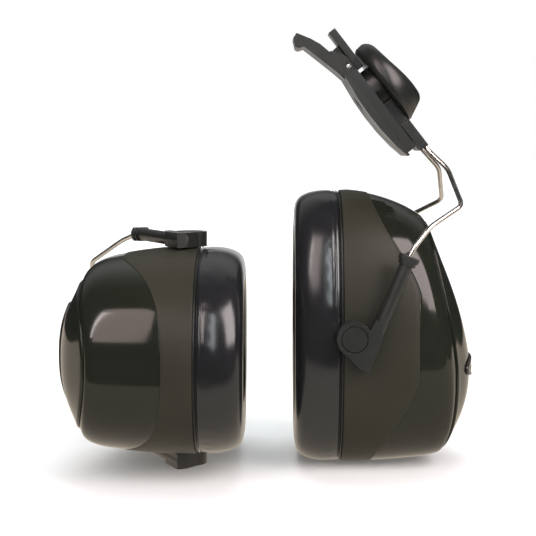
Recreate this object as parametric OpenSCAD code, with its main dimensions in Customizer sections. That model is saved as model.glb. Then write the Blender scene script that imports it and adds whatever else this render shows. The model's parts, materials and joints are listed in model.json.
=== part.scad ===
// Pair of cap-mounted earmuff cups, each with its cushion, liner, wire fork and helmet clip.
// The right cup stands on its lower end; the left cup lies on its long side.
// Each unit is drawn in its own frame: X outward from the ear, Z up the cup, Y front to back.

/* [Cup] */
// Long axis of the cup
cup_len = 109.4; // [104:0.2:112]
// Short axis of the cup
cup_wid = 80.5; // [78:0.5:84]
// Height of the shell's rim above the ear side of the cushion
rim_x = 18.4; // [17:0.2:20]
// Height of the shell's dome above the ear side of the cushion
dome_x = 67.5; // [65:0.5:69]
// Height of the face panel's crown above the ear side of the cushion
crown_x = 70.9; // [70:0.1:73]
// How far the crown sits below the middle of the cup
crown_drop = 15.6; // [12:0.2:18]
// Thickness of the shell's wall
wall = 2.6; // [2:0.2:3]

/* [Cushion and liner] */
// Thickness of the ear cushion
cushion_t = 17.4; // [14:0.2:17.6]
// Width of the cushion's padded ring
cushion_w = 19; // [16:0.5:21]
// Thickness of the foam liner
foam_t = 6; // [4:0.5:7]

/* [Arm] */
// Height of the pivot axis above the ear side of the cushion
pivot_x = 22; // [21.5:0.5:23]
// How far a wire holder stands proud of the cup's side
holder_t = 5.9; // [5.6:0.1:6.5]
// Distance from the pivot axis to the wire
wire_offset = 7.3; // [7:0.1:8]
// Diameter of the wire
wire_d = 1.9; // [1.6:0.1:2]
// Lean of the right arm away from upright
right_lean = 22.5; // [15:0.5:30]
// Lean of the left arm away from the cup's long axis
left_lean = 27; // [15:0.5:30]

/* [Clip] */
// Lean of the clip plate at the rest position
clip_lean = 37.6; // [35:0.2:40]
// Length of the clip plate without its tongue
plate_len = 41; // [40:0.5:42]
// Width of the clip plate
plate_wid = 30; // [26:1:32]
// Diameter of the swivel cap at its foot
cap_d = 35.8; // [32:0.2:36]
// Height of the swivel cap
cap_h = 10.4; // [8:0.1:11]

/* [Placing] */
// Distance between the two cushions
gap = 19.7; // [16:0.1:40]
// How far the left cup stands in front of the right one
left_forward = 8.5; // [0:0.5:30]
// How far the right cup's middle stands in front of the pair's middle
set_forward = 24.3; // [0:0.1:30]

/* [Hidden] */
SIDES = ["right", "left"];
PIECES = ["cup_shell", "face_panel", "badge", "cushion", "cushion_plate", "foam_liner",
    "pivot_pins", "pivot_bushes", "front_holder", "rear_holder", "collars", "wire_fork", "swivel_head",
    "swivel_cap", "swivel_screw", "wave_spring", "clip_plate", "lock_blade", "lock_pin",
    "lock_spring"];

// Segments round the cup; the half step puts a flat between two points at each end.
segs = 40;
turn = 360 / segs;
function ang(i) = (i + 0.5) * turn;
$fn = 48;

// ---- Cup surfaces ----
// The outline is a squared oval, the same for the shell, the plate and the cushion.
oval = 2.3;
end_flat = pow(cos(turn / 2), 2 / oval);
function signed_pow(v, p) = sign(v) * pow(abs(v), p);
function outline(a) = [
    signed_pow(cos(a), 2 / oval) * cup_wid / 2 / end_flat,
    signed_pow(sin(a), 2 / oval) * cup_len / 2 / end_flat
];

// The wall leans in most at the top of the cup and least at its foot.
wall_reach = 35;
function lean_in(a) = 0.087 + 0.08 * sin(a) + 0.033 * pow(sin(a), 2);
function wall_at(x, a) = outline(a) * (1 - lean_in(a) * pow((x - rim_x) / wall_reach, 2));

// Drop of a domed surface below its crown, at front-to-back place y and height z.
function drop(y, z, side, top, foot) = let (d = z + crown_drop)
    side * pow(abs(y), 2.4) + (d > 0 ? top * pow(d, 1.6) : foot * pow(-d, 2.4));
function dome(p) = dome_x - drop(p[0], p[1], 0.0016, 0.0225, 0.0019);
function panel(p) = crown_x - drop(p[0], p[1], 0.0028, 0.0287, 0.0028);

// Height at which the wall meets the dome, found by halving the interval.
function shoulder(a, lo, hi, n) = let (m = (lo + hi) / 2)
    n == 0 ? m : dome(wall_at(m, a)) > m ? shoulder(a, m, hi, n - 1) : shoulder(a, lo, m, n - 1);
shoulder_x = [for (i = [0:segs - 1]) shoulder(ang(i), rim_x, dome_x, 14)];
crown = [0, -crown_drop];

// Ring of points on the wall, a fraction f of the way from the rim to the shoulder.
function wall_ring(f) = [for (i = [0:segs - 1]) let (
        x = rim_x + f * (shoulder_x[i] - rim_x), p = wall_at(x, ang(i)))
    [x, p[0], p[1]]];
// Ring on the dome, q of the way out from the crown to the shoulder.
function panel_edge(a) = 0.8 + 0.155 * pow(sin(a), 2);
function dome_point(i, q) = crown + (wall_at(shoulder_x[i], ang(i)) - crown) * q;
function dome_ring(q) = [for (i = [0:segs - 1]) let (p = dome_point(i, q)) [dome(p), p[0], p[1]]];
function edge_ring(f, lift = 0) = [for (i = [0:segs - 1])
    let (p = dome_point(i, f * panel_edge(ang(i)))) [dome(p) + lift, p[0], p[1]]];
function panel_ring(f) = [for (i = [0:segs - 1]) let (p = dome_point(i, f * panel_edge(ang(i))))
    [max(panel(p), dome(p) + 0.5), p[0], p[1]]];
// The same ring moved in by t, both towards the cup's axis and towards the ear.
function inset(ring, t, down) = [for (p = ring) let (r = norm([p[1], p[2]]), k = max(0, 1 - t / r))
    [p[0] - down, p[1] * k, p[2] * k]];

shell_out = concat([for (f = [0, 0.35, 0.7, 0.93]) wall_ring(f)],
    [dome_ring(0.975), edge_ring(1), edge_ring(0.7), edge_ring(0.4), edge_ring(0.12)]);
shell_in = [inset(edge_ring(0.12), 0, wall), inset(edge_ring(0.6), wall / 2, wall),
    inset(wall_ring(0.93), wall, wall), inset(wall_ring(0.5), wall, 0),
    inset(wall_ring(0.25), wall, 0), inset(wall_ring(0), wall, 0)];
foam_out = [inset(wall_ring(0.06), wall + 0.6, 0), inset(wall_ring(0.5), wall + 0.7, 0),
    inset(wall_ring(0.93), wall + 1.2, wall + 1), inset(edge_ring(0.6), wall, wall + 1),
    inset(edge_ring(0.12), 0, wall + 0.6)];
foam_in = [inset(edge_ring(0.12), 0, wall + foam_t), inset(edge_ring(0.6), foam_t, wall + foam_t),
    inset(wall_ring(0.85), wall + foam_t, wall + foam_t), inset(wall_ring(0.06), wall + foam_t, 0)];

// Solid through rings of equal length. An open stack gets an end cap on each end.
module loft(rings, closed = false) {
    n = len(rings);
    s = len(rings[0]);
    last = closed ? n - 1 : n - 2;
    sides = [for (k = [0:last]) for (i = [0:s - 1]) let (j = (i + 1) % s, m = (k + 1) % n)
        [k * s + i, k * s + j, m * s + j, m * s + i]];
    caps = closed ? [] : [[for (i = [s - 1:-1:0]) i], [for (i = [0:s - 1]) (n - 1) * s + i]];
    polyhedron([for (ring = rings) for (p = ring) p], concat(sides, caps));
}

// Flat plate with the cup's outline, grown by e, from height x0 over thickness t.
module oval_plate(x0, t, e) {
    translate([x0, 0, 0]) rotate([90, 0, 90]) linear_extrude(t)
        polygon([for (i = [0:segs - 1]) let (p = outline(ang(i))) p * (1 + e / norm(p))]);
}

// ---- Cup pieces ----
boss_r = 6;
boss_t = 4;
boss_gap = 0.8;
pin_r = 2.6;
fit = 0.06;
side_y = cup_wid / 2;
holder_y = side_y + 0.35;
holder_top = holder_y + holder_t;

// Cylinder along Y at the pivot, from y0 to y1, on the front or the rear side.
module at_pivot(r, y0, y1, s) {
    translate([pivot_x, s * y0, 0]) rotate([-90 * s, 0, 0]) cylinder(r = r, h = y1 - y0);
}

module cup_shell() color("#4b4a36") difference() {
    // The inner and outer surfaces are one closed skin that turns over at the rim.
    loft(concat(shell_in, shell_out));
    for (s = [-1, 1]) at_pivot(pin_r, side_y - wall - boss_t, side_y + 1, s);
}

// Bushes inside the cup hold the pins.
module pivot_bushes() color("#26271f") for (s = [-1, 1]) difference() {
    at_pivot(boss_r, side_y - wall - boss_t, side_y - wall - boss_gap, s);
    at_pivot(pin_r, side_y - wall - boss_t - 1, side_y, s);
    // Flat that clears the cushion plate
    translate([rim_x + 0.1 - 2 * boss_r, -side_y, -boss_r - 1])
        cube([2 * boss_r, cup_wid, 2 * boss_r + 2]);
}

bond = 0.1;
module face_panel() color("#3a3928")
    loft([edge_ring(0.12, bond), edge_ring(0.4, bond), edge_ring(0.7, bond), edge_ring(1, bond),
        panel_ring(1), panel_ring(0.7), panel_ring(0.4), panel_ring(0.12)]);

// Long oval badge that lies across the panel's crown and follows its curve
badge_len = 40;
badge_wid = 8;
badge_t = 1.1;
badge_bond = 0.25;
function badge_ring(f, lift) = [for (i = [0:segs - 1]) let (
        y = f * badge_len / 2 * signed_pow(cos(ang(i)), 0.85),
        z = f * badge_wid / 2 * signed_pow(sin(ang(i)), 0.85) - crown_drop)
    [panel([y, z]) + lift, y, z]];
module badge() color("#24241c")
    loft(concat([for (f = [0.1, 0.3, 0.5, 0.7, 0.85, 1]) badge_ring(f, badge_bond)],
        [badge_ring(1, 0.7 * badge_t)],
        [for (f = [0.93, 0.7, 0.5, 0.3, 0.1]) badge_ring(f, badge_t)]));

// Section of the cushion, from the middle of its ear side round the outside to the plate and back:
// height as a share of the thickness, and distance in from the outline.
cushion_outer = [[0, 9], [0.03, 5.6], [0.12, 3.1], [0.3, 1.2], [0.55, 0.3], [0.88, 0.3], [1, 1.2]];
cushion_inner = [[1, 1.2], [0.7, 0], [0.35, 0.4], [0.08, 3], [0, 6.5]];
cushion_section = concat(cushion_outer,
    [for (p = cushion_inner) [p[0], cushion_w - p[1]]]);
function cushion_ring(c) = [for (i = [0:segs - 1])
    let (p = outline(ang(i)), q = p * (1 - c[1] / norm(p))) [c[0] * cushion_t, q[0], q[1]]];
module cushion() color("#151617")
    loft([for (c = cushion_section) cushion_ring(c)], closed = true);

module cushion_plate() color("#1c1d1e") difference() {
    oval_plate(cushion_t, rim_x - cushion_t, -0.9);
    oval_plate(cushion_t - 1, rim_x - cushion_t + 2, -(wall + foam_t + 8));
}

module foam_liner() color("#3c3c3a") difference() {
    loft(concat(foam_in, foam_out));
    for (s = [-1, 1]) at_pivot(boss_r + 0.5, side_y - wall - boss_t - 0.8, side_y, s);
}

pin_head_r = 4.8;
pin_head_t = 1.8;
module pivot_pins() color("#1b1c1d") for (s = [-1, 1]) {
    at_pivot(pin_r, side_y - wall - boss_t, holder_top - pin_head_t, s);
    at_pivot(pin_head_r, holder_top - pin_head_t, holder_top - 0.2, s);
}

// ---- Arm pieces, drawn upright about the pivot: x away from it, z along the wire ----
tube_r = 2.6;
tube_low = -9.5;
tube_high = 33;
wire_y = holder_y + holder_t / 2;
bore_r = wire_d / 2 + fit;
ring_r = 6.7;

module holder(s) color("#17181a") difference() {
    union() {
        translate([0, s * holder_y, 0]) rotate([-90 * s, 0, 0]) cylinder(r = ring_r, h = holder_t);
        translate([wire_offset, s * wire_y, tube_low]) cylinder(r = tube_r, h = tube_high - tube_low);
        // Web between the ring and the tube, with its tail along the tube's lower end.
        translate([0, s > 0 ? holder_y + holder_t : -holder_y, 0]) rotate([90, 0, 0])
            linear_extrude(holder_t) polygon([[-1.6, -6.2], [wire_offset - 1.5, tube_low],
                [wire_offset + tube_r - 0.2, tube_low], [wire_offset + tube_r - 0.2, 3],
                [wire_offset, 9], [wire_offset - tube_r, 10], [4, 5.8]]);
    }
    translate([0, s * (holder_y - 1), 0]) rotate([-90 * s, 0, 0])
        cylinder(r = pin_r + fit, h = holder_t + 2);
    translate([0, s * (holder_top - pin_head_t - 0.3), 0]) rotate([-90 * s, 0, 0])
        cylinder(r = pin_head_r + 0.25, h = pin_head_t + 1);
    translate([wire_offset, s * wire_y, tube_low + 1]) cylinder(r = bore_r, h = tube_high - tube_low);
}

module collars() color("#101112") for (s = [-1, 1])
    translate([wire_offset, s * wire_y, tube_high]) difference() {
        // Flattened so that it is no thicker than the holder
        intersection() {
            union() {
                cylinder(r = 3.4, h = 1.6);
                translate([0, 0, 1.6]) cylinder(r = 4.1, h = 2);
            }
            translate([-5, -2.85, -1]) cube([10, 5.7, 6]);
        }
        translate([0, 0, -1]) cylinder(r = bore_r, h = 6);
    }

// Wire: bend points of one prong in the unit's frame, from the tube's foot to the cross bar.
lean_dir = [sin(right_lean), 0, cos(right_lean)];
wire_foot = [pivot_x + wire_offset * cos(right_lean), wire_y, -wire_offset * sin(right_lean)];
wire_low = wire_foot + (tube_low + 1.5) * lean_dir;
wire_exit = wire_foot + (tube_high + 6.2) * lean_dir;
hinge_u = 4.5;
hinge_v = 7.5;
clip_base = [45.1, 0, 68.5];
function clip_point(u, v, y) = clip_base + u * [-sin(clip_lean), 0, cos(clip_lean)]
    + v * [cos(clip_lean), 0, sin(clip_lean)] + [0, y, 0];
prong_y = 8;
prong = [wire_low, wire_exit, [50.7, 40, 41.8], [64.3, 30, 49.6], [60.9, 13.7, 63.4],
    clip_point(-3, 8.1, 8.4), clip_point(hinge_u, hinge_v, prong_y)];

// One wire from the front tube, through the cross bar in the swivel head, to the rear tube.
wire_points = concat([for (p = prong) [p[0], -p[1], p[2]]],
    [for (i = [len(prong) - 1:-1:0]) prong[i]]);
bend_len = 2.4;
bend_steps = 4;
function unit(v) = v / norm(v);
function bend(a, b, c, f) = let (p = b + bend_len * unit(a - b), q = b + bend_len * unit(c - b))
    (1 - f) * (1 - f) * p + 2 * f * (1 - f) * b + f * f * q;
wire_path = let (w = wire_points, n = len(w) - 1) concat([w[0]],
    [for (i = [1:n - 1]) for (k = [0:bend_steps]) bend(w[i - 1], w[i], w[i + 1], k / bend_steps)],
    [w[n]]);
// The wire's plane, which no stretch of it is square to.
wire_normal = [cos(right_lean), 0, -sin(right_lean)];
wire_sides = 12;
function wire_ring(i) = let (
        before = wire_path[max(i - 1, 0)], after = wire_path[min(i + 1, len(wire_path) - 1)],
        along = unit(after - before), across = unit(cross(along, wire_normal)),
        up = cross(along, across), r = wire_d / 2)
    [for (k = [0:wire_sides - 1]) let (t = 360 * k / wire_sides)
        wire_path[i] + r * (cos(t) * across + sin(t) * up)];
module wire_fork() color("#c9c6bf") loft([for (i = [len(wire_path) - 1:-1:0]) wire_ring(i)]);

// ---- Clip pieces, drawn flat: x = distance along the plate, y across it, z away from the helmet ----
swivel_u = 28.3;
head_r = 9.5;
head_low = 1.1;
head_top = 9.4;
tail_low = 5.4;
stud_r = 3;
stud_low = -1.6;

module swivel_head() color("#141517") difference() {
    union() {
        translate([swivel_u, 0, head_low]) cylinder(r = head_r, h = head_top - head_low);
        translate([-1.6, -11.5, tail_low]) cube([13, 23, head_top - tail_low]);
        translate([10, -8, tail_low]) cube([12, 16, head_top - tail_low]);
    }
    translate([swivel_u, 0, 0]) cylinder(r = stud_r + fit, h = 20);
    translate([swivel_u, 0, head_top - 2.2]) cylinder(r = 6.4, h = 3);
    for (s = [-1, 1]) translate([-3, s * prong_y - 1.6, tail_low - 1]) cube([9.5, 3.2, 8]);
    translate([hinge_u, -9, hinge_v]) rotate([-90, 0, 0]) cylinder(r = bore_r, h = 18);
}

// Domed cap, lower towards the tongue: radius and height of its section at the wire end and at the
// tongue end, as shares of the cap's size; between the two ends the section changes smoothly.
cap_wire_end = [[0.96, 0], [1, 0.09], [0.94, 0.33], [0.87, 0.58], [0.77, 0.86], [0.64, 1], [0.2, 1]];
cap_tongue_end = [[0.96, 0], [1, 0.15], [1.02, 0.4], [0.96, 0.61], [0.83, 0.72], [0.64, 0.74], [0.2, 0.94]];
function cap_ring(j) = [for (i = [0:segs - 1]) let (
        k = (1 + cos(ang(i))) / 2, p = cap_tongue_end[j] * k + cap_wire_end[j] * (1 - k))
    [p[0] * cap_d / 2 * cos(ang(i)), p[0] * cap_d / 2 * sin(ang(i)), p[1] * cap_h]];
module swivel_cap() color("#121314") translate([swivel_u, 0, head_top]) difference() {
    loft([for (j = [len(cap_wire_end) - 1:-1:0]) cap_ring(j)]);
    translate([0, 0, -1]) cylinder(r = 8, h = 5);
}

module swivel_screw() color("#b7b7b2") {
    translate([swivel_u, 0, stud_low]) cylinder(r = stud_r, h = head_top - 0.5 - stud_low);
    translate([swivel_u, 0, head_top - 0.5]) cylinder(r = 5.6, h = 2, $fn = 6);
}

module wave_spring() color("#a8a8a2")
    translate([swivel_u, 0, head_top - 2]) rotate_extrude()
        translate([4.5, 0.7]) circle(r = 0.7);

// Plate and tongue in side view; both bow a little towards the helmet.
tongue_wid = 20;
riser_u = 39;
module clip_plate() color("#151618") difference() {
    union() {
        // Bowed pad under the swivel
        translate([0, plate_wid / 2, 0]) rotate([90, 0, 0]) linear_extrude(plate_wid)
            polygon([[0, 0.8], [0, 0], [6, -1.3], [14, -2.1], [22, -2.3], [30, -1.9], [plate_len, -0.6],
                [plate_len, 0.8]]);
        // Tongue with a hooked tip
        translate([0, tongue_wid / 2, 0]) rotate([90, 0, 0]) linear_extrude(tongue_wid)
            polygon([[plate_len - 2, -0.9], [44, -1.9], [52.3, -4], [59.7, -5.9], [60.6, -8.2],
                [61.8, -8.7], [65.2, -7.2], [65.9, -5], [60.6, -1.9], [56.6, -0.2], [52, 0.8],
                [plate_len - 2, 0.8]]);
        // Cheeks that carry the lock blade, sloping down along the tongue
        translate([0, 9, 0]) rotate([90, 0, 0]) linear_extrude(18)
            polygon([[riser_u, 0], [riser_u, 5.2], [riser_u + 7.5, 5.2], [52, 1.4], [52, 0]]);
        // Side walls set in from the plate's edges
        for (s = [-1, 1]) translate([1, s * 11.6 - 1.2, 0]) cube([riser_u, 2.4, 5]);
    }
    translate([swivel_u, 0, -5]) cylinder(r = stud_r, h = 10);
    translate([riser_u - 1, -4.2, 0.9]) cube([15, 8.4, 6]);
    translate([lock_u, -10, lock_v]) rotate([-90, 0, 0]) cylinder(r = 1, h = 20);
}

lock_u = 42.5;
lock_v = 3.4;
blade_start = 39.2;
blade_end = 58.3;
blade_low = 5.6;
blade_top = 8.6;
blade_wid = 13;
module lock_blade() color("#17181a") difference() {
    union() {
        translate([blade_start, -blade_wid / 2, blade_low])
            cube([blade_end - blade_start, blade_wid, blade_top - blade_low]);
        // Lug between the riser's cheeks
        translate([lock_u - 2.2, -3.9, 1.3]) cube([4.4, 7.8, 5]);
        // Catch that drops into the helmet's slot
        translate([0, 4, 0]) rotate([90, 0, 0]) linear_extrude(8)
            polygon([[46.8, 6], [47.2, 3.9], [50.6, 1.5], [51.6, 1.9], [52, 6]]);
    }
    translate([lock_u, -10, lock_v]) rotate([-90, 0, 0]) cylinder(r = 1 + fit, h = 20);
}

module lock_pin() color("#b7b7b2")
    translate([lock_u, -9, lock_v]) rotate([-90, 0, 0]) cylinder(r = 1, h = 18);

module lock_spring() color("#a8a8a2") for (s = [-1, 1])
    translate([lock_u + 3.4, s * 2.2, 1.7]) rotate([90, 0, 0]) cylinder(r = 0.45, h = 2.2, center = true);

// ---- Placing ----
// The right cup stands on its end and the left cup lies on its side, its arm pointing back.
left_floor = holder_top;
module place(side) {
    if (side == "right")
        translate([gap / 2, -set_forward, cup_len / 2]) children();
    else
        translate([-gap / 2, -set_forward - left_forward, left_floor])
            multmatrix([[-1, 0, 0, 0], [0, 0, 1, 0], [0, 1, 0, 0], [0, 0, 0, 1]]) children();
}
function lean(side) = side == "right" ? right_lean : left_lean;
// Arm and clip turn about the pivot by the difference between this side's lean and the right one's.
module arm(side) place(side) translate([pivot_x, 0, 0])
    rotate([0, lean(side) - right_lean, 0]) translate([-pivot_x, 0, 0]) children();
module on_arm(side) arm(side) translate([pivot_x, 0, 0]) rotate([0, right_lean, 0]) children();
module on_clip(side) arm(side) translate(clip_base) multmatrix([
    [-sin(clip_lean), 0, cos(clip_lean), 0], [0, -1, 0, 0], [cos(clip_lean), 0, sin(clip_lean), 0],
    [0, 0, 0, 1]]) children();

for (side = SIDES) {
    name = str(side, "_");
    place(side) cup_shell();
    place(side) face_panel();
    place(side) badge();
    place(side) cushion();
    place(side) cushion_plate();
    place(side) foam_liner();
    place(side) pivot_pins();
    place(side) pivot_bushes();
    on_arm(side) holder(-1);
    on_arm(side) holder(1);
    on_arm(side) collars();
    arm(side) wire_fork();
    on_clip(side) swivel_head();
    on_clip(side) swivel_cap();
    on_clip(side) swivel_screw();
    on_clip(side) wave_spring();
    on_clip(side) clip_plate();
    on_clip(side) lock_blade();
    on_clip(side) lock_pin();
    on_clip(side) lock_spring();
}
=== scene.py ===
"""Earmuff pair: two helmet-mounted cups with cushions, wire forks and swivelling clips."""
import json
import math

import bpy
import numpy as np
from mathutils import Matrix, Vector


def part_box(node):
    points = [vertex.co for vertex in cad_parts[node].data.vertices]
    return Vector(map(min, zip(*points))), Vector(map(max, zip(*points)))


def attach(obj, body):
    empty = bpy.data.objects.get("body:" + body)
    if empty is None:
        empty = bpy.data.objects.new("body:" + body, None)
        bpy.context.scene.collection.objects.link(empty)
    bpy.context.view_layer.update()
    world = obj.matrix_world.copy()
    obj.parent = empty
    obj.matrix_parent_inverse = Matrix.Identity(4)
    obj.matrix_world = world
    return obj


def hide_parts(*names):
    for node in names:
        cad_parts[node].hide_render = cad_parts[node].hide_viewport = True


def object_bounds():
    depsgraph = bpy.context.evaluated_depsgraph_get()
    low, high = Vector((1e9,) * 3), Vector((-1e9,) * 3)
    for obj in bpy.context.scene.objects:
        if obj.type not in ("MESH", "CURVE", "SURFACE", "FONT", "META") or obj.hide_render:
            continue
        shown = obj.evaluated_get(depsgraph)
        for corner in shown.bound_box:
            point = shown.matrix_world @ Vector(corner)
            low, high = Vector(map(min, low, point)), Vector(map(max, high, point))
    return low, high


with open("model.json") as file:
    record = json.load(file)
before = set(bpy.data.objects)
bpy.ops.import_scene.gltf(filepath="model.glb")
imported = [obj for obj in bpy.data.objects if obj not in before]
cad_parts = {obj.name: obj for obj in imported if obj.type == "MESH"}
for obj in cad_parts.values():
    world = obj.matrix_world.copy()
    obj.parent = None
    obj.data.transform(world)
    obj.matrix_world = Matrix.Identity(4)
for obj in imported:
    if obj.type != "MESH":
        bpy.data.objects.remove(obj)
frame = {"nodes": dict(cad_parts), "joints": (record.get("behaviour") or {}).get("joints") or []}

MM = 0.001
SIDES = ("right", "left")
JOINTS = {joint["name"]: joint for joint in frame["joints"]}
cad_box = [list(corner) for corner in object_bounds()]


# ---- Frames of one unit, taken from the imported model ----
def frame_matrix(origin, x, y, z):
    """Matrix from a local frame in millimetres to the row frame in metres."""
    turn = Matrix((x, y, z)).transposed().to_4x4()
    return Matrix.Translation(origin) @ turn @ Matrix.Scale(MM, 4)


def cup_frame(side):
    """X outward from the ear, Y along the pivot axis, Z up the cup, from the cushion's middle."""
    cushion_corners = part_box(f"{side}_cushion")
    shell_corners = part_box(f"{side}_cup_shell")
    middle = (shell_corners[0] + shell_corners[1]) / 2
    face_x = cushion_corners[0].x if side == "right" else cushion_corners[1].x
    out = Vector((1, 0, 0)) if side == "right" else Vector((-1, 0, 0))
    pivot_axis = Vector(JOINTS[f"{side}_tilt"]["axis"])
    return frame_matrix(Vector((face_x, middle.y, middle.z)), out, pivot_axis, out.cross(pivot_axis))


def arm_frame(side):
    """X away from the pivot towards the wire, Y along the pivot axis, Z along the wire."""
    y = Vector(JOINTS[f"{side}_tilt"]["axis"])
    z = Vector(JOINTS[f"{side}_height"]["axis"])
    return frame_matrix(Vector(JOINTS[f"{side}_tilt"]["pos_m"]), y.cross(z), y, z)


# Distance along the clip plate from its lower end to the swivel's axis
SWIVEL_U = 28.3


def clip_frame(side):
    """X along the clip plate, Y across it, Z away from the helmet, from the plate's lower end."""
    y = -Vector(JOINTS[f"{side}_tilt"]["axis"])
    z = Vector(JOINTS[f"{side}_swivel"]["axis"])
    u = y.cross(z)
    return frame_matrix(Vector(JOINTS[f"{side}_swivel"]["pos_m"]) - u * SWIVEL_U * MM, u, y, z)


# ---- Mesh helpers ----
def place(name, verts, faces, matrix, materials, sharp, face_slots=None):
    """A smooth-shaded mesh from points in a local frame, with edges sharper than sharp degrees kept."""
    mesh = bpy.data.meshes.new(name)
    mesh.from_pydata([matrix @ Vector(v) for v in verts], [], faces)
    mesh.validate()
    mesh.polygons.foreach_set("use_smooth", [True] * len(mesh.polygons))
    mesh.set_sharp_from_angle(angle=math.radians(sharp))
    piece = bpy.data.objects.new(name, mesh)
    bpy.context.scene.collection.objects.link(piece)
    for material in materials:
        mesh.materials.append(material)
    if face_slots is not None:
        mesh.polygons.foreach_set("material_index", face_slots)
    return piece


def finish_piece(piece, side, body, node):
    """Puts the piece on the body that it rides on, and hides the CAD node that it stands for."""
    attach(piece, f"{side}_{body}")
    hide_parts(f"{side}_{node}")


def skin(rings, closed=False):
    """Points and quads through rings of equal length, with a fan at each open end."""
    count, size = len(rings), len(rings[0])
    verts = [tuple(p) for ring_points in rings for p in ring_points]
    faces = []
    for k in range(count if closed else count - 1):
        m = (k + 1) % count
        for i in range(size):
            j = (i + 1) % size
            faces.append((k * size + i, k * size + j, m * size + j, m * size + i))
    if not closed:
        for k, back in ((0, True), (count - 1, False)):
            verts.append(tuple(np.mean(rings[k], axis=0)))
            hub = len(verts) - 1
            for i in range(size):
                a, b = k * size + i, k * size + (i + 1) % size
                faces.append((b, a, hub) if back else (a, b, hub))
    return verts, faces


def value_noise(points, scale, seed):
    """Smooth noise from a few seeded plane waves, about -1 to 1."""
    waves = 6
    rng = np.random.default_rng(seed)
    total = np.zeros(len(points))
    for _ in range(waves):
        direction = rng.normal(size=3)
        direction /= np.linalg.norm(direction)
        total += np.sin(points @ direction * scale * rng.uniform(0.6, 1.4) + rng.uniform(0, 6.28))
    return total / (waves / 2)


def bezier(a, b, c, f):
    return (1 - f) ** 2 * a + 2 * f * (1 - f) * b + f * f * c


def smoothstep(v):
    v = np.clip(v, 0, 1)
    return v * v * (3 - 2 * v)


def signed_pow(v, p):
    return np.sign(v) * np.abs(v) ** p


# ---- Procedural materials ----
class Nodes:
    """Short way to build one material's node tree."""

    def __init__(self, name, color, rough, specular=0.5, metallic=0.0):
        self.material = bpy.data.materials.new(name)
        self.material.use_nodes = True
        self.tree = self.material.node_tree
        self.shader = self.tree.nodes["Principled BSDF"]
        self.shader.inputs["Base Color"].default_value = (*color, 1)
        self.shader.inputs["Roughness"].default_value = rough
        self.shader.inputs["Specular IOR Level"].default_value = specular
        self.shader.inputs["Metallic"].default_value = metallic
        self.coords = self.tree.nodes.new("ShaderNodeTexCoord").outputs["Object"]

    def link(self, a, b):
        self.tree.links.new(a, b)

    def noise(self, scale, detail=3.0, rough=0.5):
        node = self.tree.nodes.new("ShaderNodeTexNoise")
        node.inputs["Scale"].default_value = scale
        node.inputs["Detail"].default_value = detail
        node.inputs["Roughness"].default_value = rough
        self.link(self.coords, node.inputs["Vector"])
        return node.outputs["Fac"]

    def ramp(self, source, low, high, a, b):
        """Maps source from low..high to a..b."""
        node = self.tree.nodes.new("ShaderNodeMapRange")
        for name, value in zip(("From Min", "From Max", "To Min", "To Max"), (low, high, a, b)):
            node.inputs[name].default_value = value
        self.link(source, node.inputs["Value"])
        return node.outputs["Result"]

    def spread(self, source, a, b):
        """Maps the middle part of a noise, where most of it lies, to a..b."""
        return self.ramp(source, 0.3, 0.7, a, b)

    def tint(self, source, dark, light):
        node = self.tree.nodes.new("ShaderNodeMix")
        node.data_type = "RGBA"
        node.inputs["A"].default_value = (*dark, 1)
        node.inputs["B"].default_value = (*light, 1)
        self.link(source, node.inputs["Factor"])
        self.link(node.outputs["Result"], self.shader.inputs["Base Color"])

    def rough(self, source):
        self.link(source, self.shader.inputs["Roughness"])

    def bump(self, *layers):
        """layers are (source, height in metres)."""
        normal = None
        for source, height in layers:
            node = self.tree.nodes.new("ShaderNodeBump")
            node.inputs["Strength"].default_value = 1.0
            node.inputs["Distance"].default_value = height
            self.link(source, node.inputs["Height"])
            if normal:
                self.link(normal, node.inputs["Normal"])
            normal = node.outputs["Normal"]
        self.link(normal, self.shader.inputs["Normal"])

    def glow(self, color, strength):
        self.shader.inputs["Emission Color"].default_value = (*color, 1)
        self.shader.inputs["Emission Strength"].default_value = strength


def shaded(color, k):
    return tuple(c * k for c in color)


# Scales of the noise, per metre, for a slow change of colour and for handling marks
SLOW_TONE, HANDLING = 28, 75


def moulded(name, color, rough, grain, grain_height, rough_spread, specular=0.5):
    """Moulded plastic: a fine surface grain, slow colour change, and handling marks."""
    n = Nodes(name, color, rough, specular)
    n.tint(n.spread(n.noise(SLOW_TONE, 4), 0, 1), shaded(color, 0.88), shaded(color, 1.12))
    n.rough(n.spread(n.noise(HANDLING, 5, 0.6), rough - rough_spread, rough + rough_spread))
    n.bump((n.noise(grain, 2, 0.6), grain_height), (n.noise(grain * 0.2, 2), grain_height * 0.6))
    return n.material


def cushion_vinyl():
    """Shiny black skin with fine pores and a slow ripple."""
    n = Nodes("cushion_vinyl", (0.012, 0.012, 0.013), 0.24, 0.68)
    n.shader.inputs["Specular Tint"].default_value = (0.90, 0.97, 0.97, 1)
    n.tint(n.spread(n.noise(22, 4), 0, 1), (0.006, 0.006, 0.007), (0.010, 0.010, 0.011))
    n.rough(n.spread(n.noise(60, 5, 0.6), 0.16, 0.24))
    n.bump((n.noise(1500, 3, 0.6), 0.000010), (n.noise(90, 2), 0.00003))
    return n.material


def liner_foam():
    """Open-cell foam: grey, rough and pitted."""
    n = Nodes("liner_foam", (0.07, 0.07, 0.068), 0.95, 0.2)
    n.tint(n.noise(900, 4, 0.7), (0.03, 0.03, 0.03), (0.12, 0.12, 0.115))
    n.bump((n.noise(1300, 3, 0.7), 0.0004), (n.noise(300, 3), 0.0004))
    return n.material


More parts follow.
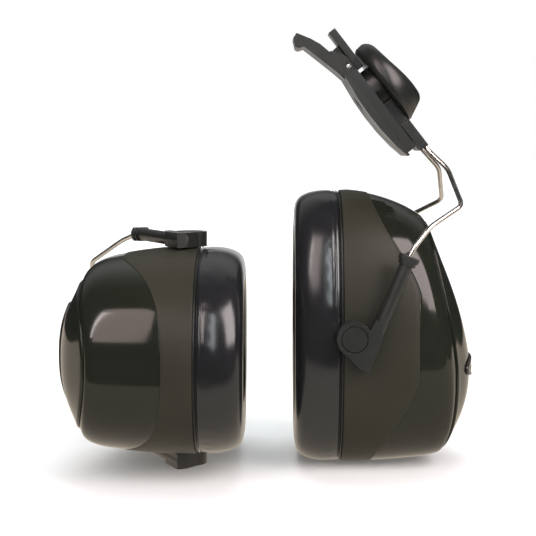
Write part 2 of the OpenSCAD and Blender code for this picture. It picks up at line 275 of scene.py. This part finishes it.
def drawn_wire():
    """Bright drawn steel with smudges and a fine grain."""
    n = Nodes("drawn_wire", (0.62, 0.60, 0.57), 0.2, 0.5, 1.0)
    n.tint(n.noise(120, 4), (0.62, 0.60, 0.57), (0.82, 0.80, 0.77))
    n.rough(n.spread(n.noise(260, 4), 0.14, 0.30))
    n.bump((n.noise(2400, 2, 0.6), 0.000008))
    return n.material


def turned_steel():
    """Duller steel, for the screw, the pin and the springs."""
    n = Nodes("turned_steel", (0.55, 0.55, 0.54), 0.3, 0.5, 1.0)
    n.tint(n.noise(90, 3), (0.45, 0.45, 0.44), (0.6, 0.6, 0.59))
    n.rough(n.spread(n.noise(400, 4), 0.22, 0.4))
    n.bump((n.noise(1800, 2), 0.00001))
    return n.material


OLIVE = (0.0182, 0.0178, 0.0122)
DEEP_OLIVE = (0.0084, 0.0096, 0.0068)
BLACK = (0.0115, 0.0132, 0.0120)
BADGE_BLACK = (0.018, 0.018, 0.015)
MATS = {
    "shell_matte": moulded("shell_matte", OLIVE, 0.44, 2600, 0.00002, 0.04, 0.20),
    "shell_gloss": moulded("shell_gloss", DEEP_OLIVE, 0.11, 420, 0.0000005, 0.03, 0.42),
    "panel_gloss": moulded("panel_gloss", DEEP_OLIVE, 0.09, 420, 0.0000004, 0.03, 0.40),
    "satin_black": moulded("satin_black", BLACK, 0.36, 1900, 0.000012, 0.07),
    "cap_black": moulded("cap_black", shaded(BLACK, 0.75), 0.32, 2100, 0.00001, 0.06),
    "badge_dark": moulded("badge_dark", BADGE_BLACK, 0.18, 900, 0.000003, 0.05),
    "cushion_vinyl": cushion_vinyl(),
    "liner_foam": liner_foam(),
    "drawn_wire": drawn_wire(),
    "turned_steel": turned_steel(),
}

# ---- The cup's surface, the same rules as the CAD model's, in the cup's frame ----
SEGMENTS = 200
ANGLES = (np.arange(SEGMENTS) + 0.5) * 2 * np.pi / SEGMENTS
COS, SIN = np.cos(ANGLES), np.sin(ANGLES)

shell_box = [Vector(c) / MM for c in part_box("right_cup_shell")]
cushion_box = [Vector(c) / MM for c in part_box("right_cushion")]
panel_box = [Vector(c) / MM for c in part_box("right_face_panel")]
CUP_WID = shell_box[1].y - shell_box[0].y
CUP_LEN = shell_box[1].z - shell_box[0].z
RIM_X = shell_box[0].x - cushion_box[0].x
DOME_X = shell_box[1].x - cushion_box[0].x
CROWN_X = panel_box[1].x - cushion_box[0].x
CUSHION_T = cushion_box[1].x - cushion_box[0].x
CROWN_DROP = 15.6
CROWN = np.array([0.0, -CROWN_DROP])
WALL = 2.6

# The outline is a squared oval.
OVAL = 2.3
OUTLINE = np.stack([signed_pow(COS, 2 / OVAL) * CUP_WID / 2,
                    signed_pow(SIN, 2 / OVAL) * CUP_LEN / 2], axis=1)
OUTWARD = OUTLINE / np.linalg.norm(OUTLINE, axis=1)[:, None]

# Share of the outline by which the wall has leaned in at WALL_REACH above the rim, most at the top
WALL_REACH = 35.0
LEAN_IN = 0.087 + 0.08 * SIN + 0.033 * SIN**2

# Steepness of a domed surface to the sides, to the top and to the foot of its crown
DOME_CURVE = (0.0016, 0.0225, 0.0019)
PANEL_CURVE = (0.0028, 0.0287, 0.0028)
# The least that the panel stands proud of the dome by, and how softly it comes down to that
LEAST_PROUD, PROUD_BLEND = 0.7, 0.5


def wall_at(x):
    """Points of the wall at height x (one height, or one for each angle)."""
    return OUTLINE * (1 - LEAN_IN * ((x - RIM_X) / WALL_REACH) ** 2)[:, None]


def drop(p, side, top, foot):
    """How far a domed surface has fallen below its crown at points p."""
    d = p[:, 1] + CROWN_DROP
    end = np.where(d > 0, top * np.abs(d) ** 1.6, foot * np.abs(d) ** 2.4)
    return side * np.abs(p[:, 0]) ** 2.4 + end


def dome(p):
    return DOME_X - drop(p, *DOME_CURVE)


def panel(p):
    """The face panel stands proud of the dome and never sinks into it."""
    h = CROWN_X - drop(p, *PANEL_CURVE) - dome(p)
    return dome(p) + 0.5 * (h + LEAST_PROUD + np.sqrt((h - LEAST_PROUD) ** 2 + PROUD_BLEND))


def find_shoulder():
    """Height at which the wall meets the dome, found by halving the interval."""
    low_x, high_x = np.full(SEGMENTS, RIM_X), np.full(SEGMENTS, DOME_X)
    for _ in range(24):
        middle = (low_x + high_x) / 2
        above = dome(wall_at(middle)) > middle
        low_x, high_x = np.where(above, middle, low_x), np.where(above, high_x, middle)
    return (low_x + high_x) / 2


SHOULDER = find_shoulder()
CORNER = wall_at(SHOULDER)
# Share of the way from the crown to the shoulder at which the face panel ends
PANEL_EDGE = 0.8 + 0.155 * SIN**2


def ring(x, p):
    """One closed row of points p at height x."""
    return np.column_stack([np.broadcast_to(x, SEGMENTS), p])


def grow(p, e):
    """Points moved out from the middle by e."""
    return p * (1 + e / np.linalg.norm(p, axis=1))[:, None]


def dome_p(q):
    """Points a share q of the way from the crown to the shoulder."""
    return CROWN + (CORNER - CROWN) * np.asarray(q * np.ones(SEGMENTS))[:, None]


def on_dome(q, lift=0.0):
    """A row of points on the dome, raised by lift."""
    p = dome_p(q)
    return ring(dome(p) + lift, p)


def up_wall(f):
    """Heights a fraction f of the way from the rim to the shoulder."""
    return RIM_X + f * (SHOULDER - RIM_X)


# The matte band is low at the cup's two ends and climbs steadily to its height along the sides.
BAND_LOW, BAND_HIGH, BAND_CLIMB = 29.8, 47.3, 0.68
BAND_PROUD = 0.18
height_share = np.abs(OUTLINE[:, 1]) / (CUP_LEN / 2)
climb = np.clip((1.0 - height_share) / BAND_CLIMB, 0, 1)
BAND = BAND_LOW + (BAND_HIGH - BAND_LOW) * (climb + smoothstep(climb)) / 2
# Distances over the rim where the band begins, and under its own edge where it ends
BAND_START, BAND_END = 1.0, 0.35
# Section of the rim: height over it, and distance out of the wall
RIM_SECTION = ((0.0, 0.3 - WALL), (0.0, -0.45), (0.13, -0.13))
# Section of the fine step above the band: height over its edge, and distance out of the wall
BAND_STEP = ((-0.12, 0.14), (0.0, 0.02), (0.1, -0.12), (0.35, -0.1))
# Height over the band's edge where the plain glossy wall begins
GLOSS_START = 0.4
# Height of the fillet between the wall and the dome, and the most of the glossy wall that it takes
FILLET, FILLET_SHARE = 7.0, 0.55
# Depth of the seat that the face panel lies in, at its edge and further in
SEAT_EDGE, SEAT = 0.5, 0.6


def cup_shell(side):
    """Inner skin, rim, matte band, a fine step, glossy wall, fillet, dome and the panel's seat."""
    inner = [on_dome(q, -WALL) for q in (0.05, 0.3, 0.6, 0.85)]
    inner += [ring(up_wall(f), grow(wall_at(up_wall(f)), -WALL)) for f in (0.85, 0.6, 0.3, 0.02)]

    foot = np.full(SEGMENTS, RIM_X)
    rim = [ring(RIM_X + x, grow(wall_at(foot), e)) for x, e in RIM_SECTION]
    rim += [ring(RIM_X + x, wall_at(foot + x)) for x in (0.45, 1.0)]

    band = []
    for f in np.linspace(0.08, 1, 14):
        x = RIM_X + BAND_START + f * (BAND - BAND_START - BAND_END - RIM_X)
        band.append(ring(x, grow(wall_at(x), BAND_PROUD * smoothstep(f * 4))))
    step = [ring(BAND + x, grow(wall_at(BAND), e)) for x, e in BAND_STEP]

    wall = []
    fillet_x = SHOULDER - np.minimum(FILLET, FILLET_SHARE * (SHOULDER - BAND))
    for f in np.linspace(0.12, 1, 8):
        x = BAND + GLOSS_START + f * (fillet_x - BAND - GLOSS_START)
        wall.append(ring(x, wall_at(x)))

    a, b, c = ring(fillet_x, wall_at(fillet_x)), ring(SHOULDER, CORNER), on_dome((1 + PANEL_EDGE) / 2)
    top = [bezier(a, b, c, f) for f in np.linspace(0.08, 1, 12)]
    top += [on_dome(PANEL_EDGE + q * (1 - PANEL_EDGE)) for q in (0.3, 0.12, 0.04)]
    top.append(on_dome(PANEL_EDGE * 0.995, -SEAT_EDGE))
    top += [on_dome(PANEL_EDGE * f, -SEAT) for f in (0.95, 0.7, 0.4, 0.05)]

    matte = inner + rim + band + step[:1]
    gloss = step[1:] + wall + top
    verts, faces = skin(matte + gloss)
    face_slots = [0] * SEGMENTS * len(matte) + [1] * SEGMENTS * (len(gloss) - 1)
    # The last two fans close the inner skin, which is matte, and the seat, which is glossy.
    face_slots += [0] * SEGMENTS + [1] * SEGMENTS
    piece = place(f"{side}_shell", verts, faces, cup_frame(side),
                  [MATS["shell_matte"], MATS["shell_gloss"]], 30, face_slots)
    finish_piece(piece, side, "cup", "cup_shell")


# Section of the panel's edge: how far it swells outward, and share of its height
PANEL_SECTION = ((0.0, -0.3), (0.25, 0.15), (0.38, 0.5), (0.28, 0.85), (0.0, 0.98))
# How far the panel lies inside the edge of its seat, and how deep its underside sits in the dome
PANEL_INSET, PANEL_SUNK = 0.4, 0.35


def face_panel(side):
    """A glossy cover with a rounded edge, lying in the shell's seat."""
    rings = [on_dome(PANEL_EDGE * f, -PANEL_SUNK) for f in (0.05, 0.4, 0.7, 0.97)]
    edge = dome_p(PANEL_EDGE)
    top = panel(edge)
    base = dome(edge)
    for swell, share in PANEL_SECTION:
        rings.append(ring(base + share * (top - base), grow(edge - CROWN, swell - PANEL_INSET) + CROWN))
    for f in (0.985, 0.96, 0.92, 0.86, 0.78, 0.7, 0.6, 0.5, 0.4, 0.3, 0.2, 0.1, 0.04):
        p = dome_p(PANEL_EDGE * f)
        rings.append(ring(panel(p), p))
    verts, faces = skin(rings)
    piece = place(f"{side}_panel", verts, faces, cup_frame(side), [MATS["panel_gloss"]], 50)
    finish_piece(piece, side, "cup", "face_panel")


# Section of the badge: distance in from its edge, and height above the panel.
BADGE_SECTION = ((3.7, 0.1), (2.0, 0.1), (0.3, 0.1), (0.0, 0.3), (0.0, 0.75), (0.18, 1.0), (0.45, 1.1),
                 (0.7, 1.08), (0.9, 0.86), (1.2, 0.84), (2.2, 0.88), (3.7, 0.9))
# Power that makes the badge's outline a long oval with blunt ends
BADGE_ROUND = 0.85


def badge(side):
    """A long oval plate that follows the panel's crown, blank inside a raised rim."""
    low_corner, high_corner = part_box("right_badge")
    half = np.array([high_corner.y - low_corner.y, high_corner.z - low_corner.z]) / 2 / MM
    oval = np.stack([signed_pow(COS, BADGE_ROUND), signed_pow(SIN, BADGE_ROUND)], axis=1)
    rings = []
    for inward, lift in BADGE_SECTION:
        p = oval * (half - inward) + CROWN
        rings.append(ring(panel(p) + lift, p))
    verts, faces = skin(rings)
    piece = place(f"{side}_badge_plate", verts, faces, cup_frame(side), [MATS["badge_dark"]], 35)
    finish_piece(piece, side, "cup", "badge")


# ---- Cushion and liner ----
CUSHION_W = 19.0
# Section of the cushion: share of its height, and distance in from the outline or from the hole.
CUSHION_OUTER = ((0.0, 9.4), (0.012, 7.4), (0.05, 4.9), (0.12, 3.1), (0.2, 2.1), (0.3, 1.3), (0.42, 0.7),
                 (0.58, 0.28), (0.76, 0.18), (0.9, 0.35), (0.965, 0.75), (1.0, 1.5))
CUSHION_INNER = ((1.0, 1.6), (0.9, 0.6), (0.7, 0.1), (0.5, 0.1), (0.3, 0.6), (0.15, 1.8), (0.05, 3.6),
                 (0.0, 6.5))
# The welded seam and the puckers beside it: distance from the plate, spread and depth, and the
# number of puckers round the cushion
SEAM_AT, SEAM_SPREAD, SEAM_DEPTH = 2.3, 0.28, 0.28
PUCKER_AT, PUCKER_SPREAD, PUCKER_DEPTH, PUCKERS = 3.6, 1.8, 0.07, 38
# Slow and fine unevenness of the padding: scale of the noise, and height
SWELLS = ((0.10, 0.20), (0.35, 0.05))


def curve_through(points, steps):
    """Smooth closed loop of points (Catmull-Rom)."""
    pts = np.array(points)
    out = []
    for k in range(len(pts)):
        a, b, c, d = (pts[(k + o) % len(pts)] for o in (-1, 0, 1, 2))
        for f in np.arange(steps) / steps:
            out.append(0.5 * (2 * b + (c - a) * f + (2 * a - 5 * b + 4 * c - d) * f**2
                              + (3 * b - a - 3 * c + d) * f**3))
    return out


def cushion(side, seed):
    """A full padded ring: crowned ear side, a heat-welded seam near the plate, slight puckers by it."""
    section = list(CUSHION_OUTER)
    section += [(share, CUSHION_W - inward) for share, inward in CUSHION_INNER]
    rings = []
    for share, inward in curve_through(section, 4):
        x = share * CUSHION_T
        outside = smoothstep((CUSHION_W / 2 - inward) / 5)
        seam = SEAM_DEPTH * math.exp(-((x - CUSHION_T + SEAM_AT) / SEAM_SPREAD) ** 2)
        by_seam = math.exp(-((x - CUSHION_T + PUCKER_AT) / PUCKER_SPREAD) ** 2)
        r = ring(x, grow(OUTLINE, -inward))
        swell = sum(value_noise(r, scale, seed + k) * height for k, (scale, height) in enumerate(SWELLS))
        waves = np.sin(ANGLES * PUCKERS + 2 * np.sin(ANGLES * 5 + seed))
        # The sideways swell fades out next to the plate.
        fade = smoothstep((CUSHION_T - 0.6 - x) / 2.0)
        move = swell * fade + (waves * PUCKER_DEPTH * by_seam - seam) * outside
        away = OUTWARD * (1 if inward < CUSHION_W / 2 else -1)
        edge = 1 - smoothstep((min(inward, CUSHION_W - inward) - 3) / 4)
        r[:, 1:] += away * (move * edge)[:, None]
        r[:, 0] += -swell * (1 - edge) * 0.5
        r[:, 0] = np.clip(r[:, 0], 0.0, CUSHION_T)
        rings.append(r)
    verts, faces = skin(rings, closed=True)
    piece = place(f"{side}_ear_cushion", verts, faces, cup_frame(side), [MATS["cushion_vinyl"]], 70)
    finish_piece(piece, side, "cup", "cushion")


FOAM_T = 6.0
# Height of the foam's unevenness, and the foam's gap to the shell at the wall and under the dome
FOAM_UNEVEN, FOAM_WALL_GAP, FOAM_DOME_GAP = 0.35, 0.6, 0.9


def foam_liner(side, seed):
    """An open foam bowl that lines the cup, a little uneven on the ear's side."""
    inner = [on_dome(PANEL_EDGE * q, -WALL - FOAM_T) for q in (0.03, 0.15, 0.3, 0.45, 0.6)]
    for f in (0.85, 0.7, 0.5, 0.3, 0.1):
        x = up_wall(f) - FOAM_T * smoothstep((f - 0.5) * 2.5)
        inner.append(ring(x, grow(wall_at(x), -WALL - FOAM_T)))
    for r in inner:
        r[:, 0] += value_noise(r, 0.5, seed) * FOAM_UNEVEN
    outer = []
    for f in (0.1, 0.5, 0.9):
        x = up_wall(f) - 1
        outer.append(ring(x, grow(wall_at(x), -WALL - FOAM_WALL_GAP)))
    outer += [on_dome(PANEL_EDGE * q, -WALL - FOAM_DOME_GAP) for q in (0.6, 0.3, 0.03)]
    verts, faces = skin(inner + outer)
    piece = place(f"{side}_liner", verts, faces, cup_frame(side), [MATS["liner_foam"]], 60)
    finish_piece(piece, side, "cup", "foam_liner")


# ---- Wire ----
WIRE_R = 0.95
WIRE_BEND = 3.0
# In the arm's frame: the wire's distance from the pivot, its lower end in the tube, and its first
# bend above the tube
WIRE_OFFSET, WIRE_FOOT, WIRE_EXIT = 7.3, -8.0, 39.2
# The prong's next bends, in the cup's frame, and its last two points in the clip's frame, where the
# cross bar through the swivel head begins
PRONG = ((50.7, 40, 41.8), (64.3, 30, 49.6), (60.9, 13.7, 63.4))
PRONG_END = ((-3, -8.4, 8.1), (4.5, -8, 7.5))

holder_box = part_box("right_rear_holder")
cup_middle = (shell_box[0].y + shell_box[1].y) / 2 * MM
WIRE_Y = ((holder_box[0].y + holder_box[1].y) / 2 - cup_middle) / MM


def tube(path, radius, sides=20):
    """Rings swept along a path without twist."""
    path = np.array(path, float)
    along = np.gradient(path, axis=0)
    along /= np.linalg.norm(along, axis=1)[:, None]
    across = np.cross(along[0], [0.3, 0.2, 0.9])
    rings = []
    for p, t in zip(path, along):
        across = across - t * (across @ t)
        across /= np.linalg.norm(across)
        up = np.cross(t, across)
        rings.append([p + radius * (math.cos(a) * across + math.sin(a) * up)
                      for a in np.linspace(0, 2 * math.pi, sides, endpoint=False)])
    return rings


def rounded_path(points, leg, steps):
    """Straight stretches joined by smooth bends, each starting leg before its corner."""
    pts = [np.array(p, float) for p in points]
    out = [pts[0]]
    for a, b, c in zip(pts, pts[1:], pts[2:]):
        p = b + (a - b) / np.linalg.norm(a - b) * min(leg, np.linalg.norm(a - b) * 0.45)
        q = b + (c - b) / np.linalg.norm(c - b) * min(leg, np.linalg.norm(c - b) * 0.45)
        out += [bezier(p, b, q, f) for f in np.linspace(0, 1, steps)]
    return out + [pts[-1]]


def wire_fork(side):
    """One wire, bent at the CAD wire's points: up one tube, through the head, and down the other."""
    to_clip = cup_frame("right").inverted() @ clip_frame("right")
    to_arm = cup_frame("right").inverted() @ arm_frame("right")
    half = [to_arm @ Vector((WIRE_OFFSET, WIRE_Y, z)) for z in (WIRE_FOOT, WIRE_EXIT)]
    half += [Vector(p) for p in PRONG]
    half += [to_clip @ Vector(p) for p in PRONG_END]
    points = [(p.x, p.y, p.z) for p in half]
    points = points + [(x, -y, z) for x, y, z in reversed(points)]
    rings = tube(rounded_path(points, WIRE_BEND, 10), WIRE_R)
    verts, faces = skin(rings)
    # The other arm is the same wire, carried from this arm's frame to that one.
    matrix = arm_frame(side) @ arm_frame("right").inverted() @ cup_frame("right")
    piece = place(f"{side}_wire", verts, faces, matrix, [MATS["drawn_wire"]], 60)
    finish_piece(piece, side, "fork", "wire_fork")


# ---- Swivel cap ----
CAP_R, CAP_H, HEAD_TOP = 17.9, 10.4, 9.4
CAP_SEGMENTS = 120
# How far the cap stands off the head under it
CAP_GAP = 0.02
# Section of the cap at the wire end and at the tongue end: shares of its radius and height.
CAP_WIRE_END = ((0.2, 0), (0.93, 0), (0.965, 0.02), (1, 0.09), (0.99, 0.2), (0.94, 0.36), (0.87, 0.62),
                (0.8, 0.85), (0.76, 0.93), (0.71, 0.98), (0.6, 1.0), (0.4, 1.01), (0.2, 1.0), (0.03, 0.985))
CAP_TONGUE_END = ((0.2, 0), (0.93, 0), (0.965, 0.02), (1, 0.1), (1.01, 0.24), (1.02, 0.4), (0.99, 0.53),
                  (0.93, 0.64), (0.88, 0.69), (0.8, 0.715), (0.6, 0.775), (0.4, 0.86), (0.2, 0.935),
                  (0.03, 0.98))


def swivel_cap(side):
    """A domed cover that is tall and steep at the wire's end and slopes off towards the tongue."""
    turns = (np.arange(CAP_SEGMENTS) + 0.5) * 2 * np.pi / CAP_SEGMENTS
    rings = []
    for wire_end, tongue_end in zip(CAP_WIRE_END, CAP_TONGUE_END):
        share = smoothstep((1 + np.cos(turns)) / 2)[:, None]
        section = np.array(tongue_end) * share + np.array(wire_end) * (1 - share)
        radius = section[:, 0] * CAP_R
        rings.append(np.column_stack([SWIVEL_U + radius * np.cos(turns), radius * np.sin(turns),
                                      HEAD_TOP + CAP_GAP + section[:, 1] * CAP_H]))
    verts, faces = skin(rings)
    piece = place(f"{side}_cap", verts, faces, clip_frame(side), [MATS["cap_black"]], 45)
    finish_piece(piece, side, "head", "swivel_cap")


# ---- CAD pieces that stay: rounded edges and a real material ----
# Edges sharper than this many degrees are rounded, once points this close (in metres) are joined.
BEVEL_ANGLE, WELD_GAP = 35, 0.00001
# The nodes, their material, and the width of their rounded edges
DRESSED = (
    (("front_holder", "rear_holder", "collars", "pivot_pins", "cushion_plate"), "satin_black", 0.35),
    (("swivel_head", "clip_plate", "lock_blade"), "satin_black", 0.45),
    (("pivot_bushes",), "shell_matte", 0.2),
    (("swivel_screw", "wave_spring", "lock_pin", "lock_spring"), "turned_steel", 0.1),
)


def dress(node, material, width):
    """Gives a CAD piece its material and rounds its edges."""
    piece = frame["nodes"][node]
    piece.data.materials.clear()
    piece.data.materials.append(material)
    weld = piece.modifiers.new("weld", "WELD")
    weld.merge_threshold = WELD_GAP
    bevel = piece.modifiers.new("bevel", "BEVEL")
    bevel.width = width * MM
    bevel.segments = 3
    bevel.limit_method = "ANGLE"
    bevel.angle_limit = math.radians(BEVEL_ANGLE)
    bevel.use_clamp_overlap = True
    bevel.harden_normals = False
    piece.data.polygons.foreach_set("use_smooth", [True] * len(piece.data.polygons))
    smooth = piece.modifiers.new("normals", "WEIGHTED_NORMAL")
    smooth.keep_sharp = True


# Seeds of the small unevenness, different in each unit
CUSHION_SEEDS = {"right": 5, "left": 12}
LINER_SEEDS = {"right": 11, "left": 12}

for side in SIDES:
    cup_shell(side)
    face_panel(side)
    badge(side)
    cushion(side, CUSHION_SEEDS[side])
    foam_liner(side, LINER_SEEDS[side])
    wire_fork(side)
    swivel_cap(side)
    for nodes, material_name, width in DRESSED:
        for node in nodes:
            dress(f"{side}_{node}", MATS[material_name], width)


# ---- Stage ----
def stage_plane(name, x_reach, y0, y1, z, material):
    """A level rectangle that reaches as far to the left as to the right."""
    mesh = bpy.data.meshes.new(name)
    mesh.from_pydata([(-x_reach, y0, z), (x_reach, y0, z), (x_reach, y1, z), (-x_reach, y1, z)], [],
                     [(0, 1, 2, 3)])
    plane = bpy.data.objects.new(name, mesh)
    bpy.context.scene.collection.objects.link(plane)
    mesh.materials.append(material)
    return plane


# Glow of the floor near the pair and far off, and the distances between which it rises
NEAR_GLOW, FAR_GLOW = 0.05, 0.6
GLOW_FROM, GLOW_TO = 0.2, 1.0


def floor_material():
    """Matt white near the pair, and brighter far off, where the softbox no longer reaches it."""
    n = Nodes("floor_white", (0.62, 0.65, 0.66), 0.6, 0.2)
    n.glow((1, 1, 1), NEAR_GLOW)
    away = n.tree.nodes.new("ShaderNodeVectorMath")
    away.operation = "LENGTH"
    n.link(n.coords, away.inputs[0])
    strength = n.ramp(away.outputs["Value"], GLOW_FROM, GLOW_TO, NEAR_GLOW, FAR_GLOW)
    n.link(strength, n.shader.inputs["Emission Strength"])
    n.bump((n.noise(300, 2), 0.00001))
    return n.material


def card_material(name, color, strength):
    """Black, with an even glow."""
    n = Nodes(name, (0, 0, 0), 1.0, 0.2)
    n.glow(color, strength)
    n.bump((n.noise(300, 2), 0.00001))
    return n.material


FLOOR_REACH, CARD_REACH = 6.0, 0.6
# The floor lies this far under the pair, and the cards this far over the floor.
FLOOR_GAP, CARD_LIFT = 0.0001, 0.00005
# Distance in front of the pair where the warm card gives way to the dark one
CARD_GAP = 0.085
low, high = [Vector(c) for c in cad_box]
floor = stage_plane("floor", FLOOR_REACH, -FLOOR_REACH, FLOOR_REACH, low.z - FLOOR_GAP, floor_material())
floor.visible_glossy = False
# Two cards just above the floor are seen only in reflections: a warm one under the pair, and a dark
# one in front of it, which stands for the unlit end of the table.
for name, reach, near_y, far_y, color, strength in (
        ("warm_card", CARD_REACH, low.y - CARD_GAP, high.y + CARD_REACH, (0.60, 0.52, 0.43), 1.2),
        ("dark_card", FLOOR_REACH, -FLOOR_REACH, low.y - CARD_GAP, (0.02, 0.02, 0.02), 0.6)):
    card = stage_plane(name, reach, near_y, far_y, low.z - FLOOR_GAP + CARD_LIFT,
                       card_material(name, color, strength))
    card.visible_camera = card.visible_diffuse = card.visible_shadow = False


# ---- Lights ----
def area_light(name, where, size, power, color, aim_z=0.07, mirrored=True):
    """A rectangular softbox that faces a point above the middle of the floor."""
    light = bpy.data.lights.new(name, "AREA")
    light.shape = "RECTANGLE"
    light.size, light.size_y = size
    light.energy = power
    light.color = color
    lamp = bpy.data.objects.new(name, light)
    bpy.context.scene.collection.objects.link(lamp)
    lamp.location = where
    lamp.rotation_euler = (Vector((0, 0, aim_z)) - Vector(where)).to_track_quat("-Z", "Y").to_euler()
    lamp.visible_glossy = mirrored


area_light("top_softbox", (0, 0.3, 1.3), (0.8, 0.8), 12, (1, 1, 1), aim_z=0.03, mirrored=False)
area_light("left_softbox", (-0.42, -0.98, 0.84), (0.44, 1.05), 6.0, (1, 0.80, 0.77))
area_light("right_softbox", (0.80, -0.70, 0.74), (0.72, 1.1), 19.0, (1, 0.86, 0.84))
area_light("left_strip", (-0.63, -0.89, 0.84), (0.04, 0.8), 2.2, (1, 0.90, 0.88))
area_light("middle_strip", (0.11, -1.3, 0.78), (0.10, 1.2), 4.0, (0.97, 0.97, 1))

# Strength of the studio's white surround, as the camera sees it and as it lights the surfaces
SEEN_WHITE, EVEN_LIGHT = 1.0, 0.95
# In reflections the surround is dim, with a pale rim straight behind and a soft glow above it.
DIM, PALE_RIM, SOFT_GLOW = 0.022, 1.1, 0.42


def world_light():
    """White for the camera, even for the surfaces, and mostly dim in reflections."""
    world = bpy.data.worlds.new("studio")
    bpy.context.scene.world = world
    world.use_nodes = True
    tree = world.node_tree
    background = tree.nodes["Background"]
    coords = tree.nodes.new("ShaderNodeTexCoord")
    split = tree.nodes.new("ShaderNodeSeparateXYZ")
    tree.links.new(coords.outputs["Generated"], split.inputs[0])

    def rising(axis, start, end, low_value, high_value):
        """Smooth rise of a strength along one axis of the direction looked in."""
        node = tree.nodes.new("ShaderNodeMapRange")
        node.interpolation_type = "SMOOTHSTEP"
        for name, value in zip(("From Min", "From Max", "To Min", "To Max"),
                               (start, end, low_value, high_value)):
            node.inputs[name].default_value = value
        tree.links.new(split.outputs[axis], node.inputs["Value"])
        return node.outputs["Result"]

    def combine(operation, a, b):
        node = tree.nodes.new("ShaderNodeMath")
        node.operation = operation
        tree.links.new(a, node.inputs[0])
        tree.links.new(b, node.inputs[1])
        return node.outputs["Value"]

    behind = rising("Y", 0.955, 1.0, DIM, PALE_RIM)
    above = combine("MULTIPLY", rising("Z", 0.2, 0.7, 0.0, SOFT_GLOW), rising("Y", 0.1, 0.75, 0.0, 1.0))
    path = tree.nodes.new("ShaderNodeLightPath")
    lit = tree.nodes.new("ShaderNodeMix")
    lit.inputs["A"].default_value = EVEN_LIGHT
    tree.links.new(path.outputs["Is Glossy Ray"], lit.inputs["Factor"])
    tree.links.new(combine("ADD", behind, above), lit.inputs["B"])
    seen = tree.nodes.new("ShaderNodeMix")
    seen.inputs["B"].default_value = SEEN_WHITE
    tree.links.new(path.outputs["Is Camera Ray"], seen.inputs["Factor"])
    tree.links.new(lit.outputs["Result"], seen.inputs["A"])
    tree.links.new(seen.outputs["Result"], background.inputs["Strength"])
    background.inputs["Color"].default_value = (1, 1, 1, 1)


world_light()

# ---- Camera: level with the clip's foot and almost level; the shift frames the pair from there. ----
CAMERA_X, CAMERA_BACK, CAMERA_UP, CAMERA_PITCH, CAMERA_SHIFT = -0.00065, 0.540, 0.126, 1.0, -0.179
SENSOR_WIDTH, LENS = 36, 89.0
right_middle = sum(corner.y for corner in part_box("right_cup_shell")) / 2
camera_data = bpy.data.cameras.new("camera")
camera_data.sensor_width = SENSOR_WIDTH
camera_data.lens = LENS
camera_data.shift_y = CAMERA_SHIFT
camera_data.clip_start = 0.01
camera_data.clip_end = 50
camera = bpy.data.objects.new("camera", camera_data)
bpy.context.scene.collection.objects.link(camera)
camera.location = (CAMERA_X, right_middle - CAMERA_BACK, CAMERA_UP)
camera.rotation_euler = (math.radians(90 - CAMERA_PITCH), 0, 0)
bpy.context.scene.camera = camera
bpy.context.scene.view_settings.view_transform = "Standard"
